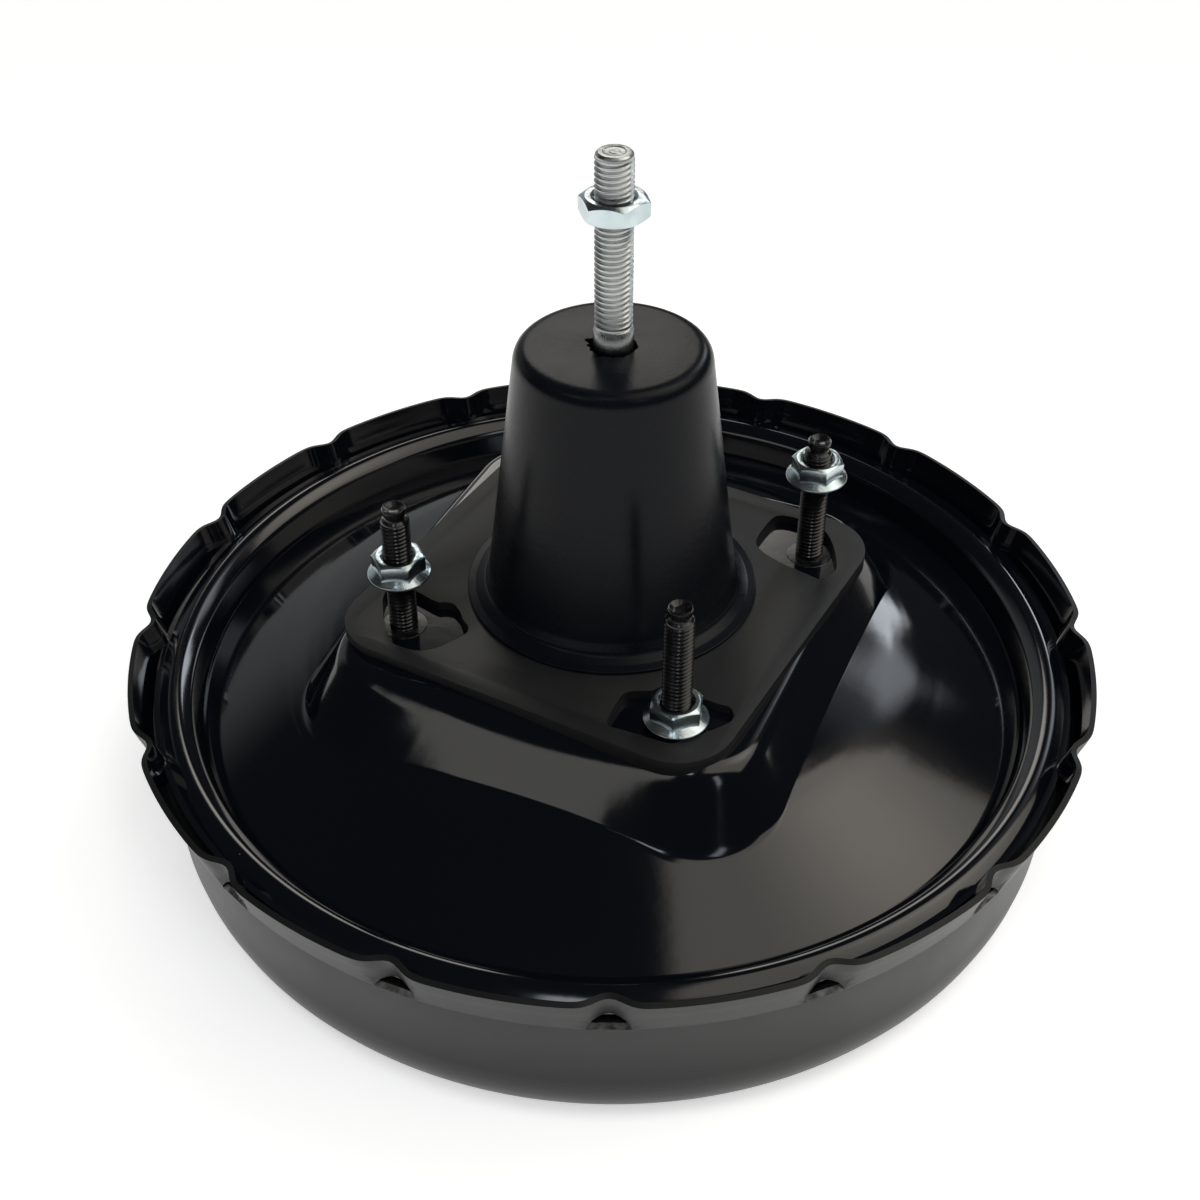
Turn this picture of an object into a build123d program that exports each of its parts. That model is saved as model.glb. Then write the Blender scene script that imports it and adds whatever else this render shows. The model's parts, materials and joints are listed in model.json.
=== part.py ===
"""Vacuum brake booster with a single diaphragm, standing on its front face.

Lengths are in millimetres.  +Z is the booster's axis and points to the pedal.  The origin is on
that axis, in the outer face of the mounting plate, which is the face that meets the bulkhead.
Depths below that face are negative heights.
"""
import math
import os

from build123d import *

# ---- General fits -------------------------------------------------------------------------
running_gap = 0.05        # radial gap of metal or plastic that slides on its guide
rubber_gap = 0.3          # gap of a soft piece beside one that moves
wall_gap = 0.6            # gap between pieces that pass each other

# ---- Housing: two pressed shells crimped together ------------------------------------------
drum_radius = 131.5       # outside of the front shell's wall
front_sheet = 1.8
rear_sheet = 2.0
face_level = -77.0        # front face, which the booster stands on
drum_corner = 22.0        # radius between the wall and the front face
step_level = -29.5        # underside of the step that carries the rear shell's flange
step_width = 3.7
lip_level = -16.3         # top edge of the lip above the step
lip_flare = 4.1           # how far the lip leans out over its height
recess_radius = 60.0      # dished centre of the front face, where the master cylinder goes
recess_depth = 18.0
recess_slope = 7.0
pilot_radius = 20.0       # hole for the master cylinder's nose

crimp_count = 16
crimp_depth = 3.0
crimp_tool_radius = 8.0
clocking = 6.3            # angle from the stud square to the crimps and the pressed platform

# ---- Rear shell: dome, groove, bead and the platform under the plate ------------------------
dome_top_radius = 88.5
dome_top_level = -20.5
dome_foot_inset = 13.0    # the dome's foot, groove, bead and flange, measured in from the drum
dome_foot_level = -33.0
crown_radius = 60.0
crown_level = -13.2
groove_inset = 10.2
groove_level = -35.5
bead_inset = 4.5
bead_half = 2.0
bead_level = -23.8
flange_inset = 0.3
platform_half = 60.5      # half the width of the platform's top
platform_corner = 17.5
platform_run = 0.92       # how far a side moves out for each millimetre down
corner_growth = 1.6       # how much the corner radius grows for each millimetre down
platform_depth = 19.4
platform_inset = 2.6      # sheet measured level through a platform side
collar_bore = 28.5        # drawn collar that holds the rear bearing and seal
collar_sheet = 2.0
collar_top = 10.0
neck_bearing_top = 1.4
neck_seal_top = 8.0
neck_clip_thickness = 1.2

# ---- Mounting plate, boot and studs ---------------------------------------------------------
plate_half = 59.3
plate_corner = 16.0
plate_thickness = 4.6
stud_spacing = 86.0
stud_radius = 4.0         # land at the stud's foot, which fits the bulkhead's hole
stud_thread_radius = 3.7  # rolled thread above the land, at its mean size
stud_land_top = 0.0
shank_radius = 4.5        # knurled shank in the sheets
stud_tip = 37.7
stud_collar_radius = 6.8
stud_collar_height = 2.0
stud_point_radius = 3.15
stud_point_length = 4.0
stud_head_radius = 7.0
stud_head_height = 3.0
boot_collar_gap = 2.1     # between the boot's inside and the shell's drawn collar
boot_skirt_width = 5.8
boot_foot_level = 1.8
boot_shoulder_radius = 25.9
boot_top_level = 77.6
boot_wall = 3.0
boot_fillet = 4.0
boot_hole_radius = 6.4
nut_width = 13.0          # across flats
nut_flange_radius = 8.75
nut_flange_height = 1.6
nut_height = 6.6
corner_names = ("near", "right", "far", "left")
plate_nut_levels = (0.2, 24.9, 20.0, 15.4)   # undersides of the nuts, in the same order
reinforcement_sheet = 2.0
rear_reinforcement_half = 53.0
rear_reinforcement_bore = 34.0

# ---- Power piston ---------------------------------------------------------------------------
stroke = 26.0
neck_radius = 22.0
neck_top = 50.0
head_top = -7.5
hub_radius = 26.0
head_flange_radius = 34.0
head_flange_top = -12.7
head_flange_thickness = 2.5
nose_radius = 20.0
nose_bottom = -21.0
reaction_radius = 14.0
reaction_top = -12.5
reaction_thickness = 4.0
plate_sheet = 1.5
diaphragm_sheet = 1.6
loop_room = 17.7          # from the piston plate's rim to the wall, for the diaphragm's loop
loop_slack = 2.4          # length of the loop beyond what half the stroke takes up
loop_gap = 2.4            # from the plate's rim to the loop
leg_gap = 2.6             # from the loop to the wall
shelf_gap = 6.0           # flat of the piston plate ends this far inside the stud heads
head_gap = 2.6            # and passes this far below them
piston_crown_radius = 58.0
piston_crown_drop = 3.5
piston_shoulder_radius = 70.0
piston_shoulder_level = -21.2
piston_dome_level = -25.4
piston_rim_level = -34.6
piston_rim = 4.0
bumper_radius = 1.3       # rubber lugs that rest the piston on the rear shell
bumper_circle = 32.6
bumper_count = 6
spring_wire = 3.0
spring_turns = 3.5
cup_sheet = 1.2           # cup that carries the front seal
cup_flange_radius = 24.0
spring_top_radius = 26.5
spring_foot_radius = 30.5

# ---- Control valve and input rod --------------------------------------------------------------
plunger_stroke = 2.0
plunger_radius = 8.0
plunger_nose_radius = 5.5
plunger_shoulder = -4.0
plunger_top = 16.0
ball_level = 11.0
ball_radius = 5.0
rod_neck_radius = 3.8
rod_radius = 5.0          # shaft, and the end of the thread that takes the pedal's clevis
rod_thread_radius = 4.7   # thread below that end, at its mean size
rod_end_start = 120.2
rod_tip = 130.8
knurl_radius = 5.3
knurl_start = 72.0
knurl_end = 83.0
cavity_radius = 17.0
cavity_floor = 14.0
poppet_bore = 6.2
poppet_radius = 13.0
poppet_sheet = 2.6
poppet_bead_bottom = 24.0
sleeve_bottom = 26.0      # steel sleeve that holds the poppet's bead
sleeve_top = 36.0
sleeve_sheet = 1.2
sleeve_bore = 9.4
rod_shaft_start = 26.0
rod_collar_radius = 10.8
rod_collar_bottom = 36.0
rod_collar_thickness = 2.0
key_level = 4.6
key_thickness = 1.5
key_width = 12.0
filter_bottom = 39.5
silencer_bottom = 45.5
cap_bottom = 48.2
jam_nut_width = 16.0
jam_nut_height = 5.5
jam_nut_level = 114.0

# ---- Output rod, front seal and master cylinder studs ----------------------------------------
output_rod_radius = 5.0
output_rod_tip = -66.0
output_head_radius = 13.7
output_head_thickness = 4.0
nose_gap = 5.5            # left between the nose and the front seal's cup after a full stroke
seal_bottom = -60.0
master_stud_spacing = 82.0
master_stud_radius = 4.0
master_stud_length = 17.5
front_plate_width = 66.0
front_plate_margin = 12.0
front_plate_bore = 25.0
seat_length = 106.0       # flat seat pressed forward for the master cylinder
seat_width = 62.0
seat_corner = 28.0
seat_height = 0.6

# ---- Vacuum check valve, beside the master cylinder -------------------------------------------
port_offset = 45.0        # distance from the axis
port_hole_radius = 9.0
grommet_flange_radius = 10.6
grommet_flange = 3.0
valve_stem_radius = 6.0
valve_bore_radius = 3.0
valve_barrel_radius = 9.5
valve_barrel_length = 7.0
nipple_radius = 4.75
nipple_length = 5.6
nipple_chamfer = 0.6


# ---- Helpers -----------------------------------------------------------------------------------
def turned(points):
    """Turn a closed outline of (radius, height) points about the axis."""
    outline = make_face(Plane.XZ * Polyline(*points, close=True))
    return revolve(outline, Axis.Z, 360)


def tube(inner, outer, bottom, top):
    """A plain ring between two radii and two levels."""
    return turned([(inner, bottom), (outer, bottom), (outer, top), (inner, top)])


def rod(radius, bottom, top):
    """A round bar on the axis."""
    return Pos(0, 0, bottom) * extrude(Circle(radius), top - bottom)


def sheet(points, radii, thickness):
    """A pressed sheet: an open line of (radius, height) points, rounded and turned.

    The points follow the outside of the sheet, and the metal lies on the left of the line."""
    line = FilletPolyline(*points, radius=radii)
    outline = offset(line, thickness, side=Side.LEFT, kind=Kind.INTERSECTION)
    return revolve(make_face(Plane.XZ * outline), Axis.Z, 360)


def rounded_square(half, corner):
    """A square sketch with round corners."""
    return RectangleRounded(2 * half, 2 * half, corner)


def at_corners(half, shape):
    """Four copies of a shape at the corners of a square, anticlockwise from front right."""
    places = [(half, -half), (half, half), (-half, half), (-half, -half)]
    return [Pos(x, y, 0) * shape for x, y in places]


# ---- Levels and radii that several pieces share ------------------------------------------------
dome_foot_radius = drum_radius - dome_foot_inset
groove_radius = drum_radius - groove_inset
bead_radius = drum_radius - bead_inset
flange_start = drum_radius - flange_inset
platform_top = -plate_thickness
platform_under = platform_top - rear_sheet
step_top = step_level + front_sheet
flange_top = step_top + rear_sheet
recess_level = face_level + recess_depth
recess_top = recess_level + front_sheet
seat_level = recess_level - seat_height
front_plate_top = recess_top + reinforcement_sheet
wall_inside = drum_radius - front_sheet
piston_radius = wall_inside - loop_room
loop_level = piston_rim_level - stroke / 2 - loop_slack
seal_retainer_top = nose_bottom - stroke - nose_gap
lip_lean = lip_flare / (lip_level - step_level)
boot_foot_radius = collar_bore + collar_sheet + boot_collar_gap + boot_wall
boot_skirt_radius = boot_foot_radius + boot_skirt_width
flange_radius = drum_radius + step_width - front_sheet - 0.7
spring_top = head_flange_top - head_flange_thickness
stud_half = stud_spacing / 2
master_stud_half = master_stud_spacing / 2
plunger_nose = reaction_top + plunger_stroke + 0.1
rear_plate_under = platform_under - reinforcement_sheet


def front_shell():
    """Deep cup with a dished centre, a step for the rear shell, and a crimped lip."""
    line = [(pilot_radius, recess_level), (recess_radius, recess_level),
            (recess_radius + recess_slope, face_level), (drum_radius, face_level),
            (drum_radius, step_level), (drum_radius + step_width, step_level),
            (drum_radius + step_width + lip_flare, lip_level)]
    cup = sheet(line, [5, 5, drum_corner, 0.6, 2.4], front_sheet)
    seat = extrude(RectangleRounded(seat_length, seat_width, seat_corner), -seat_height)
    cup = cup + (Pos(0, 0, recess_level) * seat - rod(pilot_radius, face_level, recess_level))
    holes = [Pos(x, 0, 0) * rod(shank_radius, face_level, recess_top + 1)
             for x in (-master_stud_half, master_stud_half)]
    port = along_port(rod(port_hole_radius, -front_sheet - 1, 1))
    return crimped(cup - holes - port)


def crimped(cup):
    """Push the lip in over the rear shell's flange at each crimp, and open the slot below it."""
    lean = math.degrees(math.atan(lip_lean))
    middle = (step_level + lip_level) / 2
    reach = drum_radius + step_width + lip_flare / 2 + crimp_tool_radius - crimp_depth
    height = 2 * (lip_level - step_level)
    place = Pos(reach, 0, middle) * Rot(0, lean, 0)
    tool = place * Cylinder(crimp_tool_radius, height)
    skin = place * Cylinder(crimp_tool_radius + front_sheet, height)
    dent_bottom = flange_top + rubber_gap
    above_step = tube(wall_inside, drum_radius + 40, step_top, lip_level + 5)
    inside = turned([(wall_inside - 5, dent_bottom),
                     (drum_radius + step_width - 0.9 + lip_lean * (dent_bottom - step_level), dent_bottom),
                     (drum_radius + step_width - 0.9 + lip_flare, lip_level),
                     (wall_inside - 5, lip_level)])
    turns = [Rot(0, 0, clocking + 360 / crimp_count * number) for number in range(crimp_count)]
    tool = tool & above_step
    skin = (skin & inside) - tool
    cup = cup - [turn * tool for turn in turns]
    return cup + [turn * skin for turn in turns]


def platform(inset, top):
    """Square platform with sides that slope out to the dome; inset gives its inner surface."""
    def section(level):
        drop = platform_top - level
        half = platform_half + platform_run * drop - inset
        corner = platform_corner + corner_growth * drop
        return Pos(0, 0, level) * Rot(0, 0, clocking) * rounded_square(half, corner)

    return loft([section(platform_top - platform_depth), section(top)], ruled=True)


def rear_surface(drop, outset):
    """The rear shell's turned surface, lowered by drop, as a solid down to below the flange."""
    line = FilletPolyline(
        (0, crown_level - drop), (crown_radius, crown_level - drop),
        (dome_top_radius, dome_top_level - drop), (dome_foot_radius, dome_foot_level - drop),
        (groove_radius + outset / 2, groove_level - drop),
        (bead_radius - bead_half + outset / 2, bead_level - drop),
        (bead_radius + bead_half, bead_level - drop), (flange_start, flange_top - drop),
        (flange_radius + outset, flange_top - drop),
        radius=[8, 12, 2, 1, 1.5, 1.5, 1])
    base = Polyline((flange_radius + outset, flange_top - drop), (flange_radius + outset, face_level),
                    (0, face_level), (0, crown_level - drop))
    return revolve(make_face(Plane.XZ * (line + base)), Axis.Z, 360)


def rear_shell():
    """Pressed cover: dome, groove, bead and crimped flange, a platform and a drawn collar."""
    collar = rod(collar_bore + collar_sheet, platform_under, collar_top)
    outer = rear_surface(0, 0) + platform(0, platform_top) + collar
    inner = rear_surface(rear_sheet, rear_sheet) + platform(platform_inset, platform_under)
    shell = outer - inner - rod(collar_bore, face_level, collar_top + 1)
    holes = at_corners(stud_half, rod(shank_radius, rear_plate_under, platform_top + 1))
    return shell - holes


def rear_reinforcement():
    """Square plate inside the platform that spreads the load of the studs."""
    plate = extrude(rounded_square(rear_reinforcement_half, platform_corner), reinforcement_sheet)
    plate = Pos(0, 0, rear_plate_under) * plate
    bore = rod(rear_reinforcement_bore, rear_plate_under - 1, platform_under + 1)
    holes = at_corners(stud_half, rod(shank_radius, rear_plate_under - 1, platform_under + 1))
    return plate - bore - holes


def firewall_stud():
    """Headed stud, clinched through the shell, with a collar and a dog point."""
    point = stud_tip - stud_point_length
    return turned([(0, rear_plate_under - stud_head_height),
                   (stud_head_radius, rear_plate_under - stud_head_height),
                   (stud_head_radius, rear_plate_under), (shank_radius, rear_plate_under),
                   (shank_radius, platform_top), (stud_collar_radius, platform_top),
                   (stud_collar_radius, platform_top + stud_collar_height),
                   (stud_radius, platform_top + stud_collar_height), (stud_radius, stud_land_top),
                   (stud_thread_radius, stud_land_top + 0.1), (stud_thread_radius, point - 2),
                   (stud_point_radius, point), (stud_point_radius, stud_tip), (0, stud_tip)])


def plate_opening():
    """Irregular opening round one stud, wider towards the plate's middle."""
    corners = [(12.4, 5.2), (11.6, 10.0), (9.6, 12.1), (4, 11.3), (-6, 11), (-10.2, 8.2), (-16.6, 4.2),
               (-16.4, -6), (-14.6, -11), (-8, -10.9), (-3, -11), (2, -9.4), (5, -6.3)]
    outline = make_face(Polyline(*corners, close=True))
    return fillet(outline.vertices(), 1.0)


def mounting_plate():
    """Flat spacer between the rear shell and the bulkhead, loose over the studs."""
    plate = extrude(rounded_square(plate_half, plate_corner), -plate_thickness)
    bore = rod(collar_bore + collar_sheet + wall_gap, platform_top - 1, 1)
    opening = extrude(plate_opening(), -2 * plate_thickness)
    upper = mirror(opening, Plane.XZ)
    right = [Pos(stud_half, -stud_half, 1) * opening, Pos(stud_half, stud_half, 1) * upper]
    left = [mirror(shape, Plane.YZ) for shape in right]
    return plate - bore - right - left


def boot():
    """Moulded rubber cone over the valve body's neck, with a skirt that lies on the plate."""
    slope = (boot_foot_radius - boot_shoulder_radius) / (boot_top_level - boot_foot_level)
    under_top = boot_top_level - boot_wall
    inner_top = boot_shoulder_radius + slope * boot_wall - boot_wall
    outer = [(boot_skirt_radius, 0), (boot_skirt_radius, 0.6), (boot_foot_radius + 3.0, boot_foot_level - 0.7),
             (boot_foot_radius, boot_foot_level + 0.8), (boot_shoulder_radius, boot_top_level),
             (boot_hole_radius, boot_top_level), (boot_hole_radius, under_top), (inner_top, under_top),
             (boot_foot_radius - boot_wall, boot_foot_level), (boot_foot_radius - boot_wall, 0)]
    cone = turned(outer)
    rim = cone.edges().filter_by(GeomType.CIRCLE).filter_by(
        lambda edge: abs(edge.radius - boot_shoulder_radius) < 0.01)
    return fillet(rim, boot_fillet)


def hexagon(width):
    """Hexagon sketch measured across its flats."""
    return RegularPolygon(width / math.sqrt(3), 6)


def flange_nut():
    """Hexagon nut with a washer face, drawn from its underside at level zero."""
    body = extrude(hexagon(nut_width), nut_height)
    cone = turned([(0, 0), (nut_width, 0), (nut_width, nut_height - 2.2), (nut_width / 2, nut_height),
                   (0, nut_height)])
    washer = turned([(0, 0), (nut_flange_radius, 0), (nut_flange_radius, 0.7),
                     (nut_width / 2 - 0.3, nut_flange_height + 0.9), (0, nut_flange_height + 0.9)])
    bore = rod(stud_thread_radius + running_gap, -1, nut_height + 1)
    return (body & cone) + washer - bore


def jam_nut():
    """Thin hexagon nut on the input rod's thread, chamfered both sides."""
    body = Pos(0, 0, jam_nut_level) * extrude(hexagon(jam_nut_width), jam_nut_height)
    edge = jam_nut_width / 2
    top = jam_nut_level + jam_nut_height
    cone = turned([(0, jam_nut_level), (edge, jam_nut_level), (edge * 1.2, jam_nut_level + 0.9),
                   (edge * 1.2, top - 0.9), (edge, top), (0, top)])
    return (body & cone) - rod(rod_radius + running_gap, jam_nut_level - 1, top + 1)


def rear_bearing():
    """Plastic ring in the collar that guides the valve body's neck."""
    return tube(neck_radius + running_gap, collar_bore, platform_top, neck_bearing_top)


def rear_neck_seal():
    """Rubber lip seal round the neck, pressed in above the bearing."""
    lip = neck_radius + rubber_gap
    return turned([(lip + 2.2, neck_bearing_top), (collar_bore, neck_bearing_top),
                   (collar_bore, neck_seal_top), (lip, neck_seal_top), (lip, neck_seal_top - 1.6),
                   (lip + 2.2, neck_seal_top - 2.8)])


def seal_clip():
    """Steel ring that keeps the neck seal in the collar."""
    return tube(neck_radius + 2.4, collar_bore, neck_seal_top, neck_seal_top + neck_clip_thickness)


def valve_body():
    """Moulded hub: a head that carries the diaphragm plate, and a neck out through the shell."""
    head_under = spring_top
    outside = turned([(0, nose_bottom), (nose_radius, nose_bottom), (nose_radius, head_under),
                      (head_flange_radius, head_under), (head_flange_radius, head_flange_top),
                      (hub_radius, head_flange_top), (hub_radius, head_top), (neck_radius, head_top),
                      (neck_radius, neck_top), (0, neck_top)])
    pocket = rod(reaction_radius, nose_bottom - 1, reaction_top)
    nose_bore = rod(plunger_nose_radius, reaction_top - 1, plunger_shoulder)
    plunger_bore = rod(plunger_radius, plunger_shoulder - plunger_stroke - 0.3, cavity_floor + 1)
    cavity = rod(cavity_radius, cavity_floor, neck_top + 1)
    slot = Pos(neck_radius / 2, 0, key_level) * Box(neck_radius + 4, key_width, key_thickness,
                                                  align=(Align.CENTER, Align.CENTER, Align.MIN))
    return outside - pocket - nose_bore - plunger_bore - cavity - slot


def retaining_key():
    """Flat key through the valve body that keeps the plunger in."""
    groove = plunger_radius - 1.5 + wall_gap / 2
    length = neck_radius - 1.6
    blade = Pos(0, 0, key_level) * extrude(Pos(length / 2, 0) * Rectangle(length, key_width), key_thickness)
    notch = Pos(0, 0, key_level - 1) * extrude(Circle(groove), key_thickness + 2)
    return blade - notch


def piston_line():
    """Top surface of the piston plate as (radius, height) points, clear below the rear shell."""
    hub = head_flange_top + plate_sheet
    head = rear_plate_under - stud_head_height
    head_reach = stud_half * math.sqrt(2) - stud_head_radius
    return [(hub_radius, hub), (head_reach - shelf_gap, hub), (head_reach - 0.5, head - head_gap),
            (piston_crown_radius, head - piston_crown_drop),
            (piston_shoulder_radius, piston_shoulder_level), (dome_top_radius, piston_dome_level),
            (piston_radius, piston_rim_level)]


def piston_plate():
    """Pressed steel disc that carries the diaphragm and pushes the valve body."""
    line = piston_line() + [(piston_radius, piston_rim_level - piston_rim)]
    radii = [3, 3, 3, 8, 20, 2]
    outline = offset(FilletPolyline(*line, radius=radii), plate_sheet, side=Side.RIGHT,
                     kind=Kind.INTERSECTION)
    return revolve(make_face(Plane.XZ * outline), Axis.Z, 360)


def diaphragm():
    """Rolling rubber diaphragm: flat on the piston plate, a loop at the wall, a bead in the rim."""
    lift = 0.05
    top = [(radius, height + lift) for radius, height in piston_line()]
    inner_leg = piston_radius + loop_gap
    outer_leg = wall_inside - leg_gap
    line = FilletPolyline(*top, (inner_leg, top[-1][1] - 1.4), (inner_leg, loop_level),
                          radius=[3, 3, 3, 8, 20, 2, 1.2])
    skin = revolve(make_face(Plane.XZ * offset(line, diaphragm_sheet, side=Side.LEFT,
                                               kind=Kind.INTERSECTION)), Axis.Z, 360)
    left = inner_leg + diaphragm_sheet
    mean = (left + outer_leg) / 2
    reach = (outer_leg - left) / 2 + diaphragm_sheet
    loop_half = Pos(mean, 0, loop_level) * Rot(90, 0, 0) * (Circle(reach) - Circle(reach - diaphragm_sheet))
    loop = revolve(loop_half & (Pos(mean, 0, loop_level - reach) * Rot(90, 0, 0) * Rectangle(
        2 * reach, 2 * reach)), Axis.Z, 360)
    leg = tube(outer_leg, outer_leg + diaphragm_sheet, loop_level, step_top - 5.0)
    bead = tube(outer_leg - 1.0, wall_inside - rubber_gap, step_top - 5.6, step_top - rubber_gap)
    lug_foot = head_flange_top + plate_sheet + lift + diaphragm_sheet
    lug = Pos(bumper_circle, 0, 0) * rod(bumper_radius, lug_foot - 0.5, platform_under - rubber_gap)
    lugs = [Rot(0, 0, 360 / bumper_count * number) * lug for number in range(bumper_count)]
    return skin + loop + leg + bead + lugs


def diaphragm_retainer():
    """Steel ring that holds the diaphragm's inner edge against the piston plate."""
    bottom = head_flange_top + plate_sheet + diaphragm_sheet + 0.05
    return tube(hub_radius, hub_radius + 5, bottom, bottom + 0.8)


def reaction_disc():
    """Rubber disc between the valve body and the output rod's head."""
    return rod(reaction_radius - rubber_gap, reaction_top - reaction_thickness, reaction_top)


def output_rod():
    """Rod that pushes the master cylinder, with a head under the reaction disc."""
    head_top_level = reaction_top - reaction_thickness
    head_bottom = head_top_level - output_head_thickness
    return turned([(0, output_rod_tip), (output_rod_radius - 1.2, output_rod_tip),
                   (output_rod_radius, output_rod_tip + 1.2), (output_rod_radius, head_bottom),
                   (output_head_radius, head_bottom), (output_head_radius, head_top_level),
                   (0, head_top_level)])


def output_rod_retainer():
    """Thin steel ring that keeps the output rod's head in its pocket."""
    return tube(output_rod_radius + 3, nose_radius, nose_bottom - 0.6, nose_bottom)


def coil(wire, turns, bottom, top, foot_radius, top_radius):
    """Round-wire spring from one level to another, wound on a cylinder or a cone."""
    start = bottom + wire / 2
    height = top - bottom - wire
    angle = math.degrees(math.atan((top_radius - foot_radius) / height))
    path = Helix(pitch=height / turns, height=height, radius=foot_radius, cone_angle=angle)
    section = Plane(origin=path @ 0, z_dir=path % 0) * RegularPolygon(wire / 2, 8)
    return Pos(0, 0, start) * sweep(section, path=path)


def return_spring():
    """Conical spring that pushes the power piston back."""
    return coil(spring_wire, spring_turns, front_plate_top, spring_top, spring_foot_radius,
                spring_top_radius)


def front_reinforcement():
    """Plate inside the front shell that carries the master cylinder's studs."""
    length = master_stud_spacing + 2 * front_plate_margin
    plate = extrude(RectangleRounded(length, front_plate_width, seat_corner), reinforcement_sheet)
    holes = [Pos(x, 0, 0) * rod(shank_radius, -1, reinforcement_sheet + 1)
             for x in (-master_stud_half, master_stud_half)]
    return Pos(0, 0, recess_top) * (plate - rod(front_plate_bore, -1, reinforcement_sheet + 1) - holes)


def master_cylinder_stud():
    """Headed stud through the front shell and its plate, pointing forwards."""
    return turned([(0, recess_level - master_stud_length),
                   (master_stud_radius - 0.8, recess_level - master_stud_length),
                   (master_stud_radius, recess_level - master_stud_length + 0.8),
                   (master_stud_radius, seat_level), (shank_radius, seat_level),
                   (shank_radius, front_plate_top), (stud_head_radius, front_plate_top),
                   (stud_head_radius, front_plate_top + stud_head_height),
                   (0, front_plate_top + stud_head_height)])


def front_seal_retainer():
    """Steel cup that seats on the front shell and carries the output rod's seal."""
    skin = cup_sheet
    hole = output_rod_radius + wall_gap
    return turned([(hole, seal_retainer_top - skin), (hole, seal_retainer_top),
                   (pilot_radius - 3, seal_retainer_top), (pilot_radius - 3 + skin, seal_retainer_top - skin),
                   (pilot_radius - 3 + skin, recess_top + skin),
                   (cup_flange_radius, recess_top + skin), (cup_flange_radius, recess_top),
                   (pilot_radius - 0.5, recess_top), (pilot_radius - 0.5, seal_bottom),
                   (pilot_radius - 3, seal_bottom), (pilot_radius - 3, seal_retainer_top - skin)])


def front_seal():
    """Rubber seal round the output rod, held in its cup."""
    top = seal_retainer_top - cup_sheet
    lip = output_rod_radius + rubber_gap
    return turned([(lip, top), (pilot_radius - 3, top), (pilot_radius - 3, seal_bottom + 0.8),
                   (pilot_radius - 6, seal_bottom + 0.8), (lip + 3, top - 2.5), (lip, top - 2.5)])


def valve_plunger():
    """Steel plunger: a nose to the reaction disc, a key groove and a socket for the rod's ball."""
    radius = plunger_radius - running_gap
    nose = plunger_nose_radius - running_gap
    groove = plunger_radius - 1.5
    groove_bottom = key_level - 0.3
    groove_top = key_level + key_thickness + plunger_stroke + 0.3
    outside = turned([(0, plunger_nose), (nose, plunger_nose), (nose, plunger_shoulder),
                      (radius, plunger_shoulder), (radius, groove_bottom), (groove, groove_bottom),
                      (groove, groove_top), (radius, groove_top), (radius, plunger_top), (0, plunger_top)])
    socket = ball_radius + running_gap
    return outside - Pos(0, 0, ball_level) * Sphere(socket) - rod(socket, ball_level, plunger_top + 1)


def control_poppet():
    """Rubber valve ring that opens and closes the air and vacuum passages."""
    seat = plunger_top + rubber_gap
    back = seat + poppet_sheet
    return turned([(poppet_bore, seat), (poppet_radius, seat), (poppet_radius, back - 1),
                   (cavity_radius - 1, poppet_bead_bottom), (cavity_radius - 0.2, poppet_bead_bottom),
                   (cavity_radius - 0.2, sleeve_bottom), (cavity_radius - 3, sleeve_bottom),
                   (poppet_radius - 2, back), (poppet_bore, back)])


def poppet_retainer():
    """Steel sleeve that clamps the poppet's bead in the neck and seats its springs."""
    inner = cavity_radius - sleeve_sheet
    floor = sleeve_bottom + sleeve_sheet
    return turned([(sleeve_bore, sleeve_bottom), (cavity_radius, sleeve_bottom), (cavity_radius, sleeve_top),
                   (inner, sleeve_top), (inner, floor), (sleeve_bore, floor)])


def poppet_spring():
    """Light spring that holds the poppet on its seat."""
    return coil(0.9, 3.5, plunger_top + rubber_gap + poppet_sheet, sleeve_bottom, 9.0, 10.6)


def input_spring():
    """Spring between the poppet's sleeve and the input rod's collar."""
    return coil(1.2, 3.0, sleeve_bottom + sleeve_sheet, rod_collar_bottom, 12.0, 9.4)


def air_filter():
    """Ring of open foam in the neck round the input rod."""
    return tube(rod_radius + 1.5, cavity_radius, filter_bottom, silencer_bottom)


def silencer():
    """Felt ring above the filter."""
    return tube(rod_radius + 1.5, cavity_radius, silencer_bottom, cap_bottom)


def filter_cap():
    """Plastic ring that keeps the filter and the felt in the neck."""
    return tube(rod_radius + 3, cavity_radius, cap_bottom, neck_top)


def input_rod():
    """Push rod from the pedal: ball end, spring collar, knurled band and threaded end."""
    collar_top_level = rod_collar_bottom + rod_collar_thickness
    shank = turned([(0, ball_level), (rod_neck_radius, ball_level), (rod_neck_radius, rod_shaft_start - 2),
                    (rod_radius, rod_shaft_start), (rod_radius, rod_collar_bottom),
                    (rod_collar_radius, rod_collar_bottom), (rod_collar_radius, collar_top_level),
                    (rod_radius, collar_top_level), (rod_radius, knurl_start), (knurl_radius, knurl_start + 0.4),
                    (knurl_radius, knurl_end - 0.4), (rod_thread_radius, knurl_end),
                    (rod_thread_radius, rod_end_start), (rod_radius, rod_end_start + 0.2),
                    (rod_radius, rod_tip - 1.0), (rod_radius - 1.0, rod_tip), (0, rod_tip)])
    return shank + Pos(0, 0, ball_level) * Sphere(ball_radius)


def along_port(shape):
    """Place a shape drawn along +Z from the recess floor so that it points forwards."""
    return Pos(0, port_offset, recess_level) * Rot(180, 0, 0) * shape


def valve_grommet():
    """Rubber grommet in the recess floor for the check valve."""
    wide = grommet_flange_radius
    waist = port_hole_radius - 0.1
    ring = turned([(valve_stem_radius, -front_sheet - grommet_flange), (wide, -front_sheet - grommet_flange),
                   (wide, -front_sheet), (waist, -front_sheet), (waist, 0), (wide, 0),
                   (wide, grommet_flange), (valve_stem_radius, grommet_flange)])
    return along_port(ring)


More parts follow.
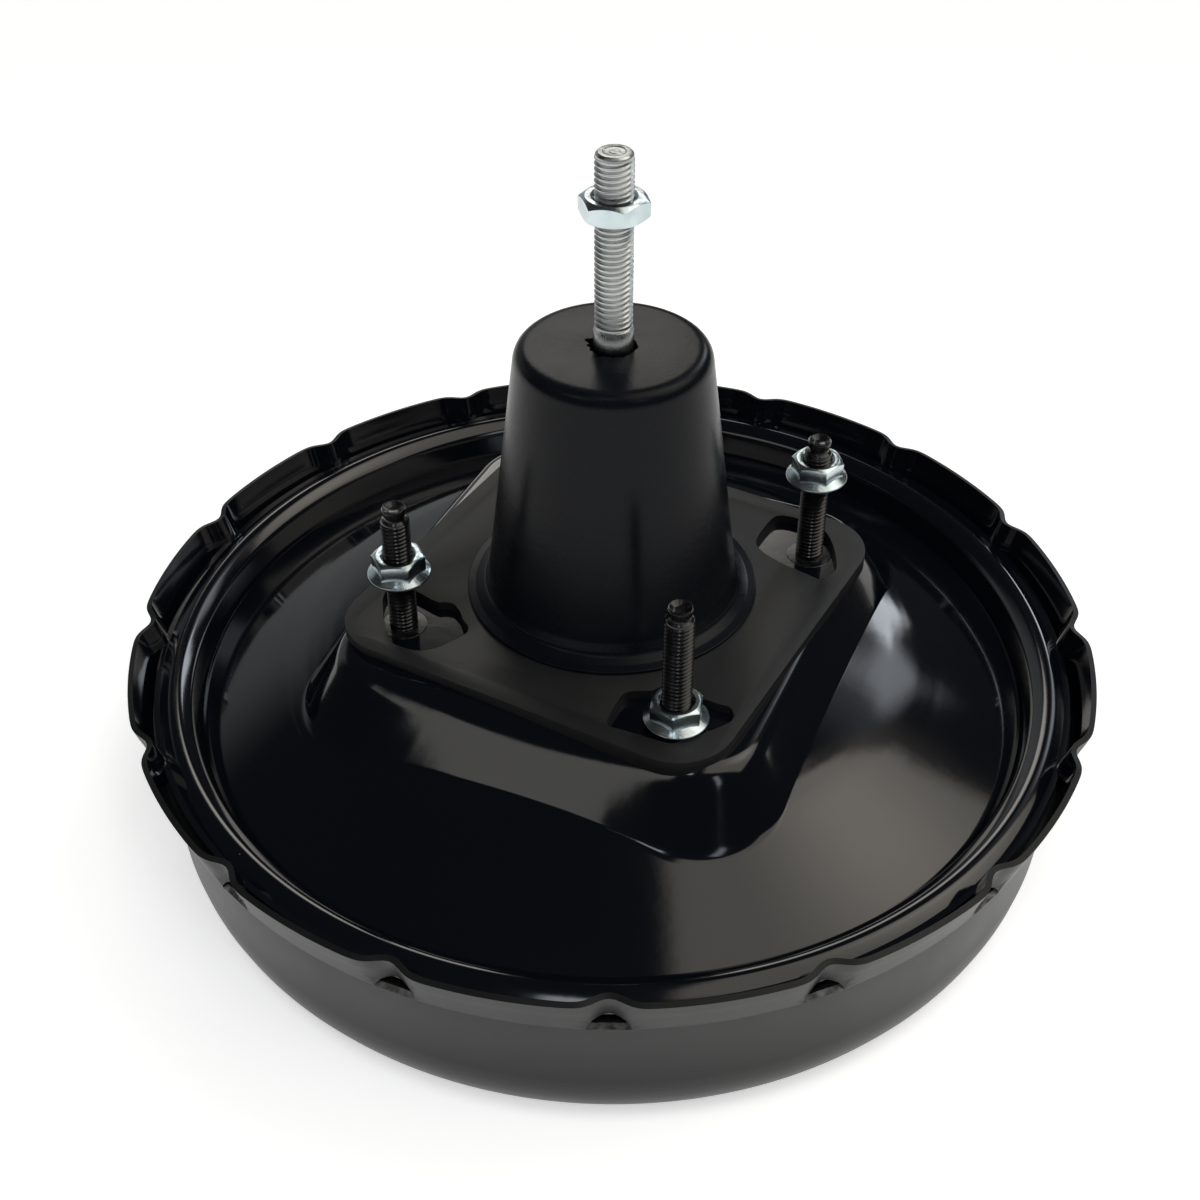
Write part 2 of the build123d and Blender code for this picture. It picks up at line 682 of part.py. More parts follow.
def check_valve_body():
    """Plastic half of the check valve that plugs into the grommet."""
    inner = -front_sheet - grommet_flange - 3
    seat = grommet_flange
    rim = valve_barrel_radius - 1.6
    stem = turned([(valve_bore_radius, inner), (valve_stem_radius - 0.8, inner),
                   (valve_stem_radius, inner + 2), (valve_stem_radius, seat),
                   (valve_barrel_radius, seat), (valve_barrel_radius, seat + valve_barrel_length),
                   (rim, seat + valve_barrel_length), (rim, seat + 1.6), (valve_bore_radius, seat + 1.6)])
    return along_port(stem)


def check_valve_flap():
    """Rubber disc that lets air out of the booster only."""
    seat = grommet_flange + 1.6
    flap = turned([(0, seat), (6.6, seat), (6.2, seat + 0.9), (2, seat + 1.8), (0, seat + 1.8)])
    return along_port(flap)


def check_valve_cap():
    """Cap of the check valve with the hose nipple."""
    start = grommet_flange + valve_barrel_length
    end = start + 1.4 + nipple_length
    cap = turned([(valve_bore_radius, start), (valve_barrel_radius, start),
                  (valve_barrel_radius, start + 1.4), (nipple_radius, start + 1.4),
                  (nipple_radius, end - nipple_chamfer), (nipple_radius - nipple_chamfer, end),
                  (valve_bore_radius, end)])
    return along_port(cap)


def build_nodes():
    """Every sub-part by the name of its node."""
    nodes = {
        "front_shell": front_shell(),
        "rear_shell": rear_shell(),
        "rear_reinforcement": rear_reinforcement(),
        "mounting_plate": mounting_plate(),
        "boot": boot(),
        "rear_bearing": rear_bearing(),
        "rear_neck_seal": rear_neck_seal(),
        "seal_clip": seal_clip(),
        "front_reinforcement": front_reinforcement(),
        "front_seal_retainer": front_seal_retainer(),
        "front_seal": front_seal(),
        "valve_grommet": valve_grommet(),
        "check_valve_body": check_valve_body(),
        "check_valve_flap": check_valve_flap(),
        "check_valve_cap": check_valve_cap(),
        "valve_body": valve_body(),
        "retaining_key": retaining_key(),
        "piston_plate": piston_plate(),
        "diaphragm": diaphragm(),
        "diaphragm_retainer": diaphragm_retainer(),
        "reaction_disc": reaction_disc(),
        "output_rod": output_rod(),
        "output_rod_retainer": output_rod_retainer(),
        "return_spring": return_spring(),
        "control_poppet": control_poppet(),
        "poppet_retainer": poppet_retainer(),
        "poppet_spring": poppet_spring(),
        "input_spring": input_spring(),
        "air_filter": air_filter(),
        "silencer": silencer(),
        "filter_cap": filter_cap(),
        "valve_plunger": valve_plunger(),
        "input_rod": input_rod(),
        "jam_nut": jam_nut(),
    }
    studs = at_corners(stud_half, firewall_stud())
    nuts = at_corners(stud_half, flange_nut())
    for place, stud, nut, level in zip(corner_names, studs, nuts, plate_nut_levels):
        nodes["firewall_stud_" + place] = stud
        nodes["flange_nut_" + place] = Pos(0, 0, level) * nut
    for place, side in (("left", -1), ("right", 1)):
        nodes["master_cylinder_stud_" + place] = Pos(side * master_stud_half, 0, 0) * master_cylinder_stud()
    return nodes


os.makedirs("parts", exist_ok=True)
for node_name, solid in build_nodes().items():
    export_step(solid, os.path.join("parts", node_name + ".step"))
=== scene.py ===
"""Vacuum brake booster, dressed over its CAD frame.

Sizes are written in millimetres and angles in degrees; mm turns a size into metres.
"""
import json
import math

import bpy
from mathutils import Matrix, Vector


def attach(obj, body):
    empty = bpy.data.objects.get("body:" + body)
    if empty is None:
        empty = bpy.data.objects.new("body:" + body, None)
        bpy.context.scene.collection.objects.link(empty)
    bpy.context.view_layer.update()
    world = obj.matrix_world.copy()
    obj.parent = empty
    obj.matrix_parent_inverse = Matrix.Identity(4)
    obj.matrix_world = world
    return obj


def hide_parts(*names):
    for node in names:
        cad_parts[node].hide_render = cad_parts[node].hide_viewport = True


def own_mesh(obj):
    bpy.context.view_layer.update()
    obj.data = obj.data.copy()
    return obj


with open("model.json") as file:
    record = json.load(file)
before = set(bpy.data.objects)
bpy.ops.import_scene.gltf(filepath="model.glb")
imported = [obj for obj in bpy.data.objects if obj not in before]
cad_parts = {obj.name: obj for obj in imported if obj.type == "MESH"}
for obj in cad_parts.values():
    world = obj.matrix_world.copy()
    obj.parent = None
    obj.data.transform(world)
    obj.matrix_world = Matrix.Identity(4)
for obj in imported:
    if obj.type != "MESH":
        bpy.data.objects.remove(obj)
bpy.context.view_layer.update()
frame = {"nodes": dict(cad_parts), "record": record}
bpy.ops.object.select_all(action="DESELECT")

# ---- Camera ----------------------------------------------------------------------------------
# A short telephoto held above the bench, looking down at the plate from its near corner.
mm = 0.001
camera_heading = 29.343
bpy.ops.object.camera_add(
    location=(183.457 * mm, -333.708 * mm, 297.687 * mm),
    rotation=(math.radians(51.326), math.radians(-0.0353), math.radians(camera_heading)))
camera = bpy.context.object
camera.data.lens = 50.286
camera.data.sensor_width = 36
camera.data.clip_start = 0.01
bpy.context.scene.camera = camera

# ---- Studio ----------------------------------------------------------------------------------
# A pale paper floor just under the front face, in a dim room.  Lit cloths hang round the part for
# its gloss to show, and one soft box high behind the camera lights it.
scene = bpy.context.scene
scene.view_settings.view_transform = "Standard"

bpy.ops.mesh.primitive_plane_add(size=6, location=(0, 0, -77.2 * mm))
floor = bpy.context.object
floor.name = "floor"


class Shade:
    """A shader socket that takes part in sums; each operator adds a Math node."""

    def __init__(self, tree, socket=None):
        self.tree = tree
        self.socket = socket

    def add(self, kind, settings=None, sockets=None, out=0):
        """Add any other node: its settings first, then the values or links of its sockets."""
        node = self.tree.nodes.new(kind)
        for name, value in (settings or {}).items():
            if name == "stops":
                ramp = node.color_ramp
                while len(ramp.elements) < len(value):
                    ramp.elements.new(0.5)
                for element, (place, colour) in zip(ramp.elements, value):
                    element.position = place
                    element.color = (*colour, 1) if isinstance(colour, tuple) else (colour,) * 3 + (1,)
            else:
                setattr(node, name, value)
        for name, value in (sockets or {}).items():
            if isinstance(value, Shade):
                self.tree.links.new(value.socket, node.inputs[name])
            else:
                node.inputs[name].default_value = value
        return Shade(self.tree, node.outputs[out])

    def math(self, operation, first, second):
        return self.add("ShaderNodeMath", {"operation": operation}, {0: first, 1: second})

    def __add__(self, other):
        return self.math("ADD", self, other)

    def __radd__(self, other):
        return self.math("ADD", other, self)

    def __sub__(self, other):
        return self.math("SUBTRACT", self, other)

    def __rsub__(self, other):
        return self.math("SUBTRACT", other, self)

    def __mul__(self, other):
        return self.math("MULTIPLY", self, other)

    def __rmul__(self, other):
        return self.math("MULTIPLY", other, self)

    def __truediv__(self, other):
        return self.math("DIVIDE", self, other)


def emptied(tree):
    """Take every node but the output out of a tree, and give the output back."""
    for node in list(tree.nodes):
        if not node.type.startswith("OUTPUT"):
            tree.nodes.remove(node)
    return tree.nodes[0]


def empty_material(name):
    """A material, the start of its sums, and its output node."""
    material = bpy.data.materials.new(name)
    material.use_nodes = True
    output = emptied(material.node_tree)
    return material, Shade(material.node_tree), output


def seen_by(shade, *rays):
    """One where the ray is of one of the named kinds, and nothing elsewhere."""
    path = shade.tree.nodes.new("ShaderNodeLightPath")
    seen = Shade(shade.tree, path.outputs[f"Is {rays[0]} Ray"])
    for ray in rays[1:]:
        seen = seen.math("MAXIMUM", seen, Shade(shade.tree, path.outputs[f"Is {ray} Ray"]))
    return seen


def floor_paper():
    """Pale matt paper with a glow that makes it a white background but keeps the part's shadow."""
    material, shade, output = empty_material("floor_paper")
    diffuse = shade.add("ShaderNodeBsdfDiffuse", None, {"Color": (0.86, 0.86, 0.86, 1)})
    seen = seen_by(shade, "Camera", "Glossy", "Transmission")
    glow = shade.add("ShaderNodeEmission", None, {"Color": (1, 1, 1, 1), "Strength": seen * 0.5})
    both = shade.add("ShaderNodeAddShader", None, {0: diffuse, 1: glow})
    shade.tree.links.new(both.socket, output.inputs["Surface"])
    return material


floor.data.materials.append(floor_paper())

world = bpy.data.worlds.new("studio")
scene.world = world
world.use_nodes = True
room_output = emptied(world.node_tree)
room = Shade(world.node_tree)
ray_direction = room.add("ShaderNodeTexCoord", out=0)


def compass(turn, height):
    """Unit vector at a turn to the right of the camera's heading and a height above level."""
    turn = math.radians(camera_heading - turn)
    height = math.radians(height)
    return Vector((
        -math.sin(turn) * math.cos(height), math.cos(turn) * math.cos(height), math.sin(height)))


def along(direction):
    """How far the ray's direction goes along a vector."""
    return room.add("ShaderNodeVectorMath", {"operation": "DOT_PRODUCT"},
                    {0: ray_direction, 1: direction}, out=1)


def soft_edge(offset, half, blur):
    """One inside half a width, falling smoothly to nothing over the blur."""
    return room.add("ShaderNodeMapRange", {"interpolation_type": "SMOOTHSTEP"}, {
        "Value": offset.math("ABSOLUTE", offset, 0),
        "From Min": half + blur, "From Max": max(0, half - blur), "To Min": 0.0, "To Max": 1.0})


least_depth = 0.05


def hung_cloth(turn, height, half_width, half_height, blur, colour, strength):
    """A lit cloth on the wall or ceiling with a faded border, all in degrees."""
    middle = compass(turn, height)
    level = Vector((0, 0, 1)).cross(middle).normalized()
    upright = middle.cross(level)
    ahead = along(middle)
    depth = ahead.math("MAXIMUM", ahead, least_depth)
    across = along(level) / depth
    aloft = along(upright) / depth
    fade = math.tan(math.radians(blur))
    inside = (soft_edge(across, math.tan(math.radians(half_width)), fade)
              * soft_edge(aloft, math.tan(math.radians(half_height)), fade)
              * ahead.math("GREATER_THAN", ahead, least_depth + 0.01))
    return room.add("ShaderNodeBackground", None, {"Color": (*colour, 1), "Strength": inside * strength})


# The walls are dim for the gloss and for the light on the part, and white behind it.
wall_strength = 0.03
white_strength = 1.06
backdrop = seen_by(room, "Camera", "Transmission")
walls = room.add("ShaderNodeBackground", None, {
    "Color": (1, 1, 1, 1), "Strength": backdrop * white_strength + (1 - backdrop) * wall_strength})

daylight = (0.86, 0.92, 1)
cloths = [
    hung_cloth(88, 57, 23, 25, 2.5, (1, 0.95, 0.85), 1.15),
    hung_cloth(71, 53, 11, 10, 12, (1, 0.92, 0.82), 1.3),
    hung_cloth(29, 25, 5, 6, 2, daylight, 4.8),
    hung_cloth(39, 34, 6, 6.5, 3, daylight, 1.7),
    hung_cloth(36, 40, 8, 8, 6, daylight, 0.35),
    hung_cloth(-35, 8, 28, 20, 9, (0.97, 1, 1), 0.32),
    hung_cloth(-130, 49, 9.5, 7, 1.5, (1, 0.98, 0.93), 1.1),
    hung_cloth(-165, 68, 4, 3, 1.5, (0.88, 0.94, 1), 4.0),
    hung_cloth(145, 42, 2.5, 9, 2, daylight, 2.2),
    hung_cloth(-5, 31, 11, 6.5, 3, (1, 0.97, 0.9), 3.0),
]
for cloth in cloths:
    walls = room.add("ShaderNodeAddShader", None, {0: walls, 1: cloth})
world.node_tree.links.new(walls.socket, room_output.inputs["Surface"])


def soft_box(name, turn, height, distance, width, depth, power, colour):
    """A rectangular lamp turned toward the object; mirrors show the cloths and not the lamp."""
    place = compass(turn, height) * distance
    bpy.ops.object.light_add(type="AREA", location=place)
    lamp = bpy.context.object
    lamp.name = name
    lamp.data.shape = "RECTANGLE"
    lamp.data.size = width
    lamp.data.size_y = depth
    lamp.data.energy = power
    lamp.data.color = colour
    lamp.visible_glossy = False
    lamp.rotation_euler = place.to_track_quat("Z", "Y").to_euler()


soft_box("key_box", turn=178, height=60, distance=1.7, width=1.1, depth=0.9, power=14, colour=(1, 1, 1))


# ---- Front shell -----------------------------------------------------------------------------
# Deep-drawn steel cup in satin dark paint.  Its lip is pushed in at sixteen crimps over the
# cover's flange, and each crimp has torn a small slot above the step.
chord_turn = 9


def rounded(corners):
    """The (radius, height) points of a line of (radius, height, fillet) corners."""
    points = [corners[0][:2]]
    for before, here, after in zip(corners, corners[1:], corners[2:]):
        corner = Vector(here[:2])
        back = (Vector(before[:2]) - corner).normalized()
        ahead = (Vector(after[:2]) - corner).normalized()
        fillet = here[2]
        if fillet == 0:
            points.append(tuple(corner))
            continue
        turn = math.acos(max(-1, min(1, -back.dot(ahead))))
        reach = fillet * math.tan(turn / 2)
        pieces = max(2, round(math.degrees(turn) / chord_turn))
        for step in range(pieces + 1):
            t = step / pieces
            start = corner + back * reach
            end = corner + ahead * reach
            points.append(tuple(start * (1 - t) ** 2 + corner * 2 * t * (1 - t) + end * t ** 2))
    points.append(corners[-1][:2])
    return points


def pick(piece):
    """Select one piece alone and make it the active one."""
    bpy.ops.object.select_all(action="DESELECT")
    piece.select_set(True)
    bpy.context.view_layer.objects.active = piece


def settle(piece):
    """Put the piece's place, turn and scale into its mesh."""
    pick(piece)
    bpy.ops.object.transform_apply(location=True, rotation=True, scale=True)


def turned_skin(name, line, steps):
    """Start from a circle at the line's first point and extrude it ring by ring along the line."""
    bpy.ops.object.select_all(action="DESELECT")
    radius, height = line[0]
    bpy.ops.mesh.primitive_circle_add(vertices=steps, radius=radius * mm, location=(0, 0, height * mm))
    skin = bpy.context.object
    skin.name = name
    settle(skin)
    bpy.ops.object.mode_set(mode="EDIT")
    bpy.ops.mesh.select_all(action="SELECT")
    for (radius, height), (next_radius, next_height) in zip(line, line[1:]):
        bpy.ops.mesh.extrude_edges_move(
            TRANSFORM_OT_translate={"value": (0, 0, (next_height - height) * mm)})
        growth = next_radius / radius
        bpy.ops.transform.resize(value=(growth, growth, 1), center_override=(0, 0, next_height * mm))
    bpy.ops.object.mode_set(mode="OBJECT")
    return skin


def finish_with(piece, kind, **values):
    """Add a modifier, set it and apply it."""
    pick(piece)
    modifier = piece.modifiers.new(kind.title(), kind)
    for name, value in values.items():
        setattr(modifier, name, value)
    bpy.ops.object.modifier_apply(modifier=modifier.name)


def outward(piece):
    """Merge doubles and make the faces point outwards."""
    pick(piece)
    bpy.ops.object.mode_set(mode="EDIT")
    bpy.ops.mesh.select_all(action="SELECT")
    bpy.ops.mesh.remove_doubles(threshold=0.01 * mm)
    bpy.ops.mesh.normals_make_consistent(inside=False)
    bpy.ops.object.mode_set(mode="OBJECT")


def smooth(piece, angle=35):
    """Smooth shading up to an angle between faces."""
    pick(piece)
    bpy.ops.object.shade_smooth_by_angle(angle=math.radians(angle))


def dress(piece, material, body, slot, *nodes):
    """Give the piece its material and its body, and hide the CAD nodes it stands for; the slot is not used.
    """
    piece.data.materials.clear()
    piece.data.materials.append(material)
    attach(piece, body)
    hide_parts(*nodes)


crimps = 16
crimp_pitch = 2 * math.pi / crimps
clocking = math.radians(6.3)
lip_middle = 136
lip_line = [(131.5, -30.6), (132.1, -29.7), (133.2, -29.5), (134.6, -29.45), (135.3, -28.9), (135.6, -28.0),
            (135.9, -27.0), (136.2, -26.0), (136.5, -25.0), (136.8, -24.0), (137.1, -23.0), (137.4, -22.0),
            (137.75, -21.0), (138.1, -20.0), (138.4, -19.0), (138.7, -18.0), (139.0, -17.0), (139.2, -16.3)]
slot_half = 5.45
slot_foot = -28.9
slot_height = 3.9
slot_rings = (4, 8)
slot_fade = -20.9
dent_depth = 3.2
dent_narrowness = 0.22
dent_foot = -29.0
dent_rise = 2.0


def lip_radius(height):
    """The lip's radius at a height above its step."""
    for (r0, z0), (r1, z1) in zip(lip_line, lip_line[1:]):
        if height <= z1:
            return r0 + (r1 - r0) * (height - z0) / (z1 - z0)
    return lip_line[-1][0]


def from_crimp(x, y):
    """Distance along the lip from the middle of the nearest crimp."""
    angle = math.atan2(y, x)
    return ((angle - clocking + crimp_pitch / 2) % crimp_pitch - crimp_pitch / 2) * lip_middle


def slot_top(aside):
    """Height of a slot's arched top at a distance from the crimp's middle."""
    return slot_foot + slot_height * math.sqrt(max(0, 1 - (aside / slot_half) ** 2))


def arched(height, aside, ring, last_ring):
    """Height of a lip point once the rings are bent to a slot's arch and level off above it."""
    top = slot_top(aside)
    if ring <= last_ring:
        return slot_foot + (top - slot_foot) * (height - slot_foot) / slot_height
    above = height - slot_foot - slot_height
    return top + (slot_fade - top) * above / (slot_fade - slot_foot - slot_height)


def front_shell():
    """The cup's outer skin with its slots and dents, thickened inwards."""
    cup_line = rounded([(20, -59, 0), (60, -59, 6), (67, -77, 5), (131.5, -77, 22), (131.5, -30.6, 0)])
    steps = 640
    cup = turned_skin("drum", cup_line + lip_line[1:], steps)
    cup.rotation_euler = (0, 0, clocking)
    settle(cup)
    first_ring = len(cup_line) + slot_rings[0] - 1
    last_ring = len(cup_line) + slot_rings[1] - 1
    for vertex in cup.data.vertices:
        height = vertex.co.z / mm
        ring = vertex.index // steps
        if ring < first_ring:
            continue
        angle = math.atan2(vertex.co.y, vertex.co.x)
        aside = from_crimp(vertex.co.x, vertex.co.y)
        if abs(aside) < slot_half and height < slot_fade:
            height = arched(height, aside, ring, last_ring)
        dent = dent_depth * math.exp(-(aside * dent_narrowness) ** 2)
        dent *= min(1, (height - dent_foot) / dent_rise)
        radius = lip_radius(height) - max(0, dent)
        vertex.co = Vector((radius * math.cos(angle), radius * math.sin(angle), height)) * mm
    for face in cup.data.polygons:
        rings = [number // steps for number in face.vertices]
        corners = [cup.data.vertices[number].co for number in face.vertices]
        asides = [abs(from_crimp(corner.x, corner.y)) for corner in corners]
        face.select = min(rings) >= first_ring and max(rings) <= last_ring and max(asides) < slot_half
    bpy.ops.object.mode_set(mode="EDIT")
    bpy.ops.mesh.select_mode(type="FACE")
    bpy.ops.mesh.delete(type="FACE")
    bpy.ops.mesh.select_mode(type="VERT")
    bpy.ops.object.mode_set(mode="OBJECT")
    outward(cup)
    finish_with(cup, "SOLIDIFY", thickness=1.6 * mm, offset=-1, use_even_offset=True)
    smooth(cup, 40)
    return cup


def satin_paint():
    """Thin dark paint with a faint mottle and a fine grain."""
    material, shade, output = empty_material("satin_drum_paint")
    place = shade.add("ShaderNodeTexCoord", out=3)
    cloud = shade.add("ShaderNodeTexNoise", None, {"Vector": place, "Scale": 45.0, "Detail": 5.0})
    grain = shade.add("ShaderNodeTexNoise", None, {"Vector": place, "Scale": 1400.0, "Detail": 2.0})
    tint = shade.add("ShaderNodeValToRGB", {
        "stops": [(0.3, (0.006, 0.0067, 0.0070)), (0.7, (0.010, 0.0108, 0.0110))]}, {"Fac": cloud})
    bump = shade.add("ShaderNodeBump", None, {"Height": grain, "Strength": 0.08, "Distance": 0.0004})
    skin = shade.add("ShaderNodeBsdfPrincipled", None, {
        "Base Color": tint, "Roughness": 0.33 + cloud * 0.12, "Normal": bump, "Specular IOR Level": 0.25})
    shade.tree.links.new(skin.socket, output.inputs["Surface"])
    return material


def torn_steel():
    """Bare steel, bright and ragged where the crimps have torn it."""
    material, shade, output = empty_material("torn_steel")
    place = shade.add("ShaderNodeTexCoord", out=3)
    rag = shade.add("ShaderNodeTexNoise", None, {"Vector": place, "Scale": 500.0, "Detail": 3.0})
    tint = shade.add("ShaderNodeValToRGB", {
        "stops": [(0.35, (0.16, 0.16, 0.16)), (0.65, (0.45, 0.45, 0.43))]}, {"Fac": rag})
    bump = shade.add("ShaderNodeBump", None, {"Height": rag, "Strength": 0.5, "Distance": 0.0004})
    skin = shade.add("ShaderNodeBsdfPrincipled", None, {
        "Base Color": tint, "Metallic": 1.0, "Roughness": 0.3 + rag * 0.2, "Normal": bump})
    shade.tree.links.new(skin.socket, output.inputs["Surface"])
    return material


def recolour(piece, material, chosen):
    """Give one more material to the faces that a test picks by their middle and outward reach."""
    piece.data.materials.append(material)
    for face in piece.data.polygons:
        out = Vector((face.center.x, face.center.y, 0)).normalized()
        if chosen(face.center / mm, face.normal.dot(out)):
            face.material_index = len(piece.data.materials) - 1


def in_slot(middle, reach):
    """The raw edge at the foot of a crimp's slot."""
    aside = abs(from_crimp(middle.x, middle.y))
    on_rim = math.hypot(middle.x, middle.y) > lip_radius(slot_foot) - 4.6
    return abs(reach) < 0.8 and on_rim and dent_foot < middle.z < slot_foot + 1.0 and aside < slot_half


drum = front_shell()
dress(drum, satin_paint(), "housing", "satin_paint", "front_shell")
recolour(drum, torn_steel(), in_slot)


# ---- Rear shell ------------------------------------------------------------------------------
# Pressed steel cover in very glossy black.  A square platform for the plate rises from the dome,
# with creased sides, and a groove and a bead run round the rim inside the crimped lip.
def outline_radius(angle, right, left, far, near, corner):
    """Distance from the middle to a rounded rectangle's edge in one direction."""
    cosine, sine = abs(math.cos(angle)), abs(math.sin(angle))
    wide = (right if math.cos(angle) > 0 else left)
    deep = (far if math.sin(angle) > 0 else near)
    flat = min(wide / max(cosine, 1e-6), deep / max(sine, 1e-6))
    wide, deep = wide - corner, deep - corner
    if flat * cosine <= wide or flat * sine <= deep:
        return flat
    along_corner = wide * cosine + deep * sine
    return along_corner + math.sqrt(max(0, along_corner ** 2 - wide ** 2 - deep ** 2 + corner ** 2))


def level_on(line, radius):
    """Height of a (radius, height) line at one radius."""
    for (r0, z0), (r1, z1) in zip(line, line[1:]):
        if r0 <= radius <= r1:
            return z0 + (z1 - z0) * (radius - r0) / (r1 - r0)
    return line[-1][1]


platform_level = -4.6
platform_top = {"right": 58.8, "left": 60.5, "far": 60.5, "near": 60.5, "corner": 17.0}
platform_foot = {"right": 68.9, "left": 69.3, "far": 75.0, "near": 75.4, "corner": 26.0}
crown_line = rounded([
    (20, -13.2, 0), (60, -13.2, 12), (81, -17.7, 60), (88.5, -20.45, 12), (118.3, -33.0, 0)])
fold_radius = 88.3
groove_start = 95.0
rim_line = rounded([
    (groove_start, -23.2, 0), (96.0, -23.6, 0), (118.3, -33.0, 2.2), (121.4, -35.6, 0.9),
    (124.2, -26.0, 2.0), (127.2, -23.7, 2.4), (131.0, -25.7, 1.6), (133.1, -25.75, 0)])

# Rings from the platform out: shares of the way down its side, steps past the side's foot, and
# even rings on to the fold and from there to the groove.
side_steps = [-0.7, -0.3, -0.24, -0.18, -0.12, -0.06, 0.0, 0.06, 0.12, 0.18, 0.24, 0.3, 0.4, 0.5, 0.6, 0.68,
              0.75, 0.81, 0.86, 0.9, 0.935, 0.965, 1.0]
foot_steps = [0.35, 0.8, 1.4, 2.2]
fold_rings = 9
groove_rings = 5
shaped_rings = len(side_steps) + len(foot_steps) + fold_rings + groove_rings - 1


def ring_radius(top, foot, ring):
    """Radius of a ring where the platform's side starts and ends at two radii."""
    fold = max(fold_radius, foot + 3)
    if ring < len(side_steps):
        return top + (foot - top) * side_steps[ring]
    ring -= len(side_steps)
    if ring < len(foot_steps):
        return foot + foot_steps[ring]
    ring -= len(foot_steps)
    if ring < fold_rings:
        return foot + foot_steps[-1] + (fold - foot - foot_steps[-1]) * (ring + 1) / fold_rings
    ring -= fold_rings
    return fold + (groove_start - fold) * (ring + 1) / groove_rings


def cover_point(angle, ring):
    """Radius and height of the cover at an angle, on a ring counted from the platform's middle."""
    turned = angle - clocking
    top = outline_radius(turned, **platform_top)
    foot = outline_radius(turned, **platform_foot)
    radius = ring_radius(top, foot, ring)

    # The side starts in a brow, which is rounder toward the near edge.
    share = (radius - top) / (foot - top)
    brow = 0.12 + 0.18 * max(0, -math.sin(turned)) ** 4
    if abs(share) < brow:
        share = (share + brow) ** 2 / (4 * brow)
    slope = platform_level - max(0, share) * (platform_level - level_on(crown_line, foot))

    # It meets the dome in a crease, which is softer at the corners that reach far out.
    dome = level_on(crown_line, radius)
    blend = 0.5 + 0.9 * max(0, min(1, (foot - 83) / 6))
    near = max(0, blend - abs(slope - dome)) / blend
    return radius, max(slope, dome) + near ** 2 * blend / 4


def rear_shell():
    """The cover's outer skin: a turned dome whose inner rings are drawn out to the platform."""
    steps = 512
    flats = [(31.0, platform_level), (44.0, platform_level)]
    blanks = [(45.0 + ring, platform_level) for ring in range(shaped_rings)]
    cover = turned_skin("cover", flats + blanks + rim_line, steps)
    for ring in range(shaped_rings):
        start = (ring + len(flats)) * steps
        for vertex in cover.data.vertices[start:start + steps]:
            angle = math.atan2(vertex.co.y, vertex.co.x)
            radius, height = cover_point(angle, ring)
            vertex.co = Vector((radius * math.cos(angle), radius * math.sin(angle), height)) * mm
    outward(cover)
    finish_with(cover, "SOLIDIFY", thickness=1.9 * mm, offset=-1)
    smooth(cover, 50)
    return cover


def gloss_paint():
    """Deep black enamel: nearly a mirror, with faint orange peel and dust."""
    material, shade, output = empty_material("gloss_cover_enamel")
    place = shade.add("ShaderNodeTexCoord", out=3)
    peel = shade.add("ShaderNodeTexNoise", None, {"Vector": place, "Scale": 260.0, "Detail": 2.0})
    smear = shade.add("ShaderNodeTexNoise", None, {"Vector": place, "Scale": 28.0, "Detail": 4.0})
    dust = shade.add("ShaderNodeTexVoronoi", None, {"Vector": place, "Scale": 170.0})
    speck = shade.add("ShaderNodeValToRGB", {"stops": [(0.0, 1.0), (0.035, 0.0)]}, {"Fac": dust})
    rare = shade.add("ShaderNodeValToRGB", {"stops": [(0.62, 0.0), (0.66, 1.0)]}, {"Fac": smear})
    fleck = speck * rare
    tint = shade.add("ShaderNodeMix", {"data_type": "RGBA"}, {
        "Factor": fleck, 6: (0.0022, 0.0028, 0.0048, 1), 7: (0.25, 0.25, 0.24, 1)}, out=2)
    bump = shade.add("ShaderNodeBump", None, {"Height": peel, "Strength": 0.05, "Distance": 0.0003})
    skin = shade.add("ShaderNodeBsdfPrincipled", None, {
        "Base Color": tint, "Roughness": 0.075 + smear * 0.05 + fleck * 0.4, "Normal": bump,
        "Coat Weight": 0.3, "Coat Roughness": 0.03})
    shade.tree.links.new(skin.socket, output.inputs["Surface"])
    return material


def inside_lip(middle, reach):
    """The inner side of the front shell's lip, above its step."""
    return reach < -0.3 and middle.z > -29.2


cover = rear_shell()
enamel = gloss_paint()
dress(cover, enamel, "housing", "black_paint", "rear_shell")
recolour(drum, enamel, inside_lip)


# ---- Mounting plate --------------------------------------------------------------------------
# Flat moulded spacer in satin black, 4.6 mm thick.  Four rough openings clear the studs, and the
# boot's skirt lies round its big middle hole.
def flat_outline(name, points, level, depth):
    """Fill a closed outline of (x, y) points and draw it down to a slab."""
    bpy.ops.object.select_all(action="DESELECT")
    bpy.ops.mesh.primitive_circle_add(vertices=len(points), radius=1, fill_type="NGON")
    slab = bpy.context.object
    slab.name = name
    for vertex, (x, y) in zip(slab.data.vertices, points):
        vertex.co = (x * mm, y * mm, level * mm)
    bpy.ops.object.mode_set(mode="EDIT")
    bpy.ops.mesh.select_all(action="SELECT")
    bpy.ops.mesh.extrude_region_move(TRANSFORM_OT_translate={"value": (0, 0, -depth * mm)})
    bpy.ops.mesh.select_all(action="SELECT")
    bpy.ops.mesh.normals_make_consistent(inside=False)
    bpy.ops.object.mode_set(mode="OBJECT")
    return slab


def cut_with(piece, tool):
    """Take one solid out of another."""
    finish_with(piece, "BOOLEAN", operation="DIFFERENCE", object=tool, solver="EXACT")
    bpy.data.objects.remove(tool)


def softened(points):
    """Round a rough outline by cutting its corners twice."""
    for _ in range(2):
        cut = []
        for (x0, y0), (x1, y1) in zip(points, points[1:] + points[:1]):
            cut.append((x0 * 0.8 + x1 * 0.2, y0 * 0.8 + y1 * 0.2))
            cut.append((x0 * 0.2 + x1 * 0.8, y0 * 0.2 + y1 * 0.8))
        points = cut
    return points


